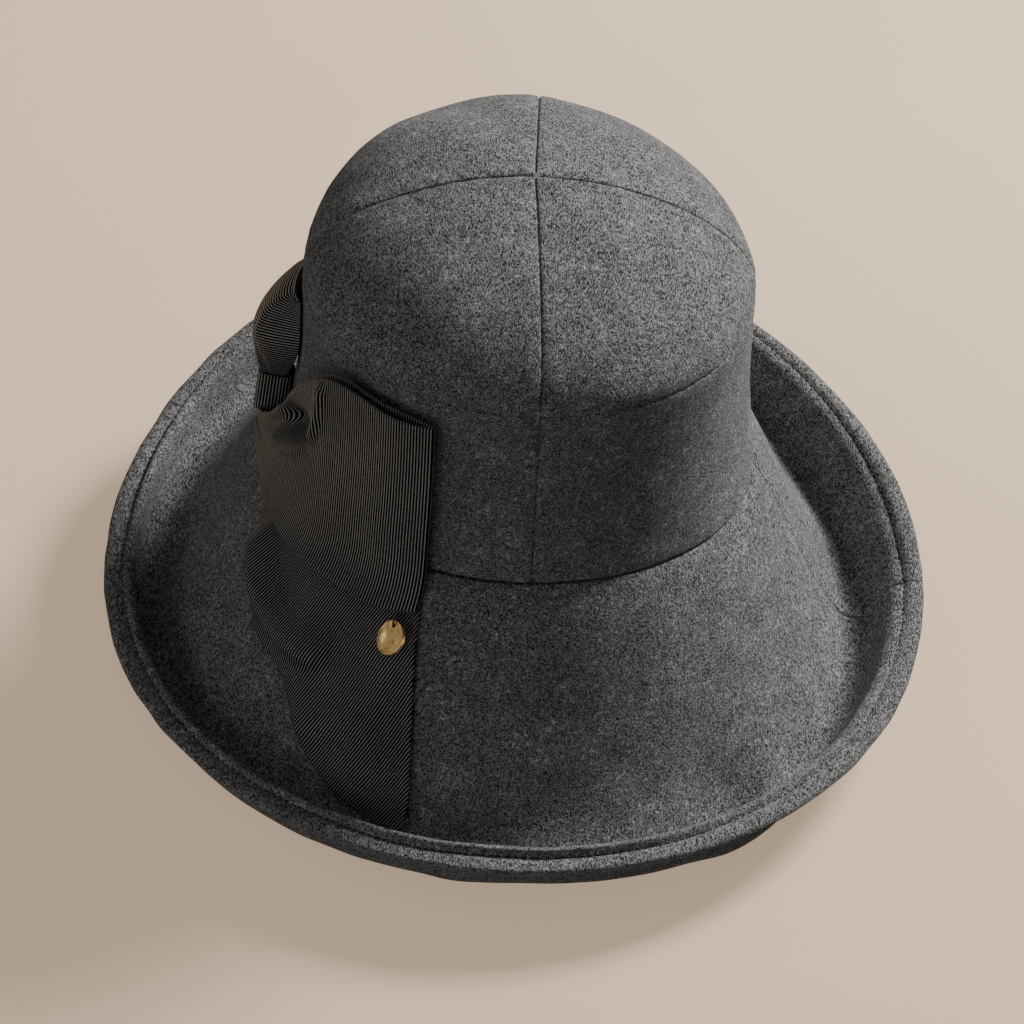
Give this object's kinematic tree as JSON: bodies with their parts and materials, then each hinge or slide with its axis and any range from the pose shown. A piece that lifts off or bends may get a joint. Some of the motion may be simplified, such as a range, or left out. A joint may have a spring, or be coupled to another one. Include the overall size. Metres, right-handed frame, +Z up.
{
  "type": "wide-brimmed cloche hat",
  "caption": "Wide-brimmed cloche hat sewn from wool panels, with a rolled-up topstitched brim, a ribbon bow at one side and a small hanging disc charm.",
  "frame": {"origin": "middle of the brim's outline seen from above, at the height of the lowest line of the brim", "axes": "+Z up through the crown, -Y towards the front of the hat, +X to the right of someone facing the hat"},
  "size_m": [0.3236, 0.3616, 0.2088],
  "materials": {
    "wool": "fulled wool cloth, charcoal heather, matt",
    "lining": "plain woven lining, black",
    "sweatband": "grosgrain sweatband, black",
    "interlining": "stiff woven interlining",
    "grosgrain": "ribbed grosgrain ribbon, brown-black, slight sheen",
    "charm_brass": "pale gold-plated brass, bare faces",
    "thread": "waxed black thread"
  },
  "bodies": {
    "hat": {"bow_back_loop": "grosgrain", "bow_front_loop": "grosgrain", "bow_knot": "grosgrain", "bow_tail": "grosgrain", "brim_interlining": "interlining", "brim_top_back": "wool", "brim_top_front": "wool", "brim_under_back": "wool", "brim_under_front": "wool", "crown_side_left": "wool", "crown_side_right": "wool", "crown_tip_back_left": "wool", "crown_tip_back_right": "wool", "crown_tip_front_left": "wool", "crown_tip_front_right": "wool", "lining_side": "lining", "lining_tip": "lining", "sweatband": "sweatband"},
    "thread": {"charm_thread": "thread"},
    "charm": {"charm_disc": "charm_brass"}
  },
  "joints": [
    {"name": "thread_swing", "type": "hinge", "parent": "hat", "child": "thread", "pos_m": [-0.04813, -0.09939, 0.08322], "axis": [-0.9171, 0.3987, 0], "range_deg": [0, 75]},
    {"name": "charm_turn", "type": "hinge", "parent": "thread", "child": "charm", "pos_m": [-0.0493, -0.10209, 0.07995], "axis": [-0.7038, -0.4027, 0.5852], "range_deg": [-45, 45]}
  ]
}
